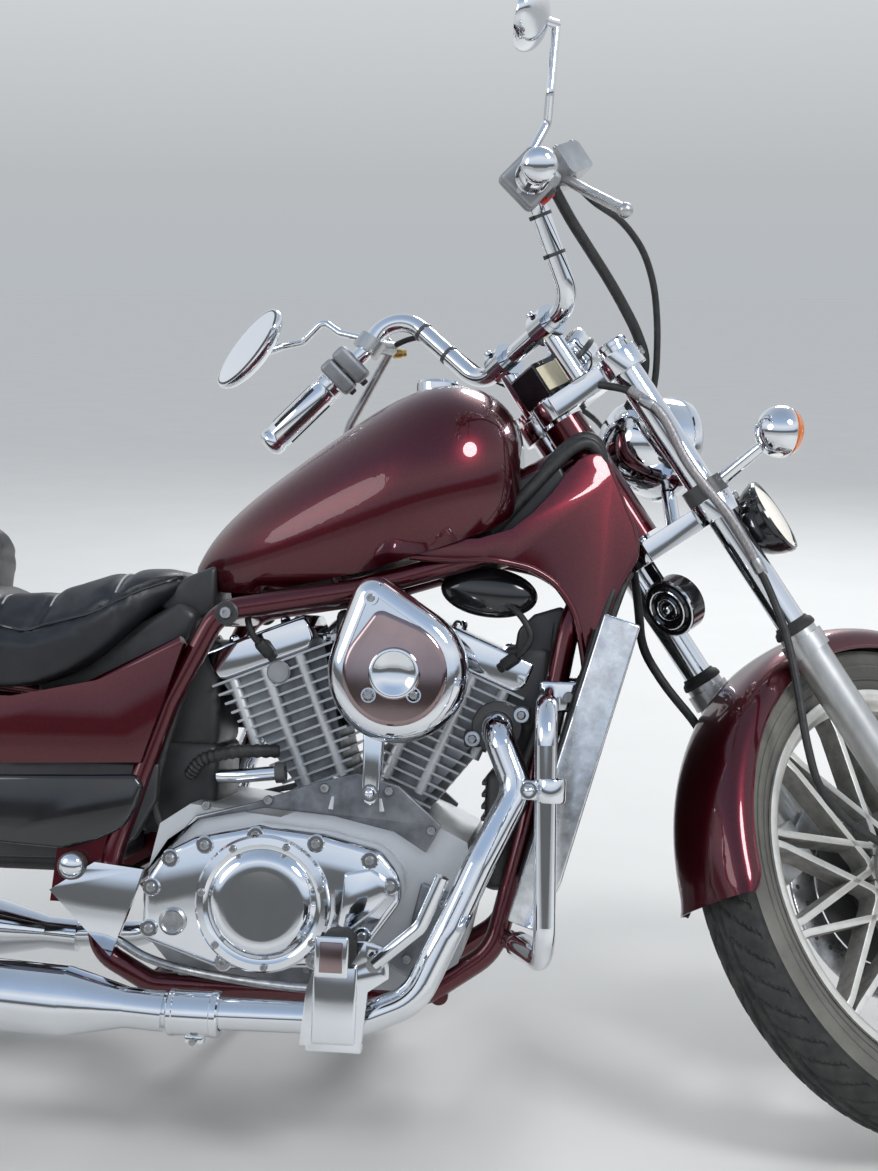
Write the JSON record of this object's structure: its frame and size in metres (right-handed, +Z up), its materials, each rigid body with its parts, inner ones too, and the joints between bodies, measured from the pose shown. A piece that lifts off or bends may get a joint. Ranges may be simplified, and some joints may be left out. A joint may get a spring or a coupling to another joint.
{
  "type": "cruiser motorcycle",
  "caption": "Cruiser motorcycle with a liquid-cooled V-twin, chromed covers and exhausts, teardrop tank and pulled-back bar, leaning on its side stand.",
  "frame": {"origin": "centre of the box's base, on the floor that the parked machine stands on", "axes": "+X forward along the rear wheel, +Y to the rider's left, +Z up"},
  "size_m": [2.2446, 0.6967, 1.4074],
  "materials": {
    "maroon_paint": "gloss metallic",
    "chrome": "mirror",
    "cast_aluminium": "cast, oxidised",
    "black_paint": "satin black",
    "rubber": "matte",
    "leather": "satin vinyl leather",
    "amber_lens": "gloss",
    "red_lens": "gloss",
    "clear_lens": "clear",
    "satin_aluminium": "satin",
    "steel": "brushed",
    "white_plate": "satin, blank",
    "tyre": "matte",
    "black_hose": "satin"
  },
  "bodies": {
    "body": {"frame": "maroon_paint", "neck_covers": "maroon_paint", "fuel_tank": "maroon_paint", "fuel_cap": "chrome", "rider_seat": "leather", "pillion_seat": "leather", "side_covers": "maroon_paint", "battery_box": "black_paint", "crankcase": "cast_aluminium", "cylinder_rear": "cast_aluminium", "cylinder_front": "cast_aluminium", "rocker_covers": "chrome", "clutch_cover": "chrome", "generator_cover": "chrome", "air_cleaner": "chrome", "intake_cover": "chrome", "exhaust_right": "chrome", "exhaust_left": "chrome", "radiator": "black_paint", "radiator_covers": "chrome", "engine_guards": "chrome", "footrests": "rubber", "brake_pedal": "chrome", "shift_lever": "chrome", "footrest_brackets": "chrome", "swingarm": "black_paint", "final_drive": "cast_aluminium", "shock_absorbers": "chrome", "rear_brake": "cast_aluminium", "rear_fender": "maroon_paint", "fender_rails": "chrome", "rack_bosses": "chrome", "tail_lamp": "red_lens", "number_plate": "white_plate", "rear_signals": "amber_lens"},
    "steering": {"fork_clamps": "chrome", "fork_tubes": "chrome", "fork_sliders": "satin_aluminium", "front_fender": "maroon_paint", "headlight": "chrome", "headlight_lens": "clear_lens", "speedometer": "chrome", "auxiliary_lamp": "black_paint", "front_signals": "chrome", "horn": "black_paint", "brake_caliper": "cast_aluminium", "handlebar": "chrome", "hand_grips": "chrome", "switch_housings": "cast_aluminium", "hand_levers": "satin_aluminium", "bar_risers": "chrome", "mirrors": "chrome", "indicator_box": "black_paint", "cables": "black_hose"},
    "front_wheel": {"front_tyre": "tyre", "front_wheel": "satin_aluminium", "brake_disc": "steel"},
    "rear_wheel": {"rear_tyre": "tyre", "rear_wheel": "satin_aluminium"},
    "stand": {"side_stand": "black_paint"}
  },
  "joints": [
    {"name": "steering", "type": "hinge", "parent": "body", "child": "steering", "pos_m": [0.44513, 0.10365, 0.79445], "axis": [-0.5571, 0.1755, 0.8117], "range_deg": [-88, 0]},
    {"name": "front_wheel_spin", "type": "hinge", "parent": "steering", "child": "front_wheel", "pos_m": [0.84267, 0.04076, 0.28824], "axis": [-0.5769, 0.6213, -0.5302], "continuous": true},
    {"name": "rear_wheel_spin", "type": "hinge", "parent": "body", "child": "rear_wheel", "pos_m": [-0.70212, -0.00079, 0.31142], "axis": [0, 0.9774, -0.2113], "continuous": true},
    {"name": "side_stand_fold", "type": "hinge", "parent": "body", "child": "stand", "pos_m": [-0.06416, 0.08539, 0.10431], "axis": [-0.048, 0.5848, 0.8097], "range_deg": [0, 94.89]}
  ]
}
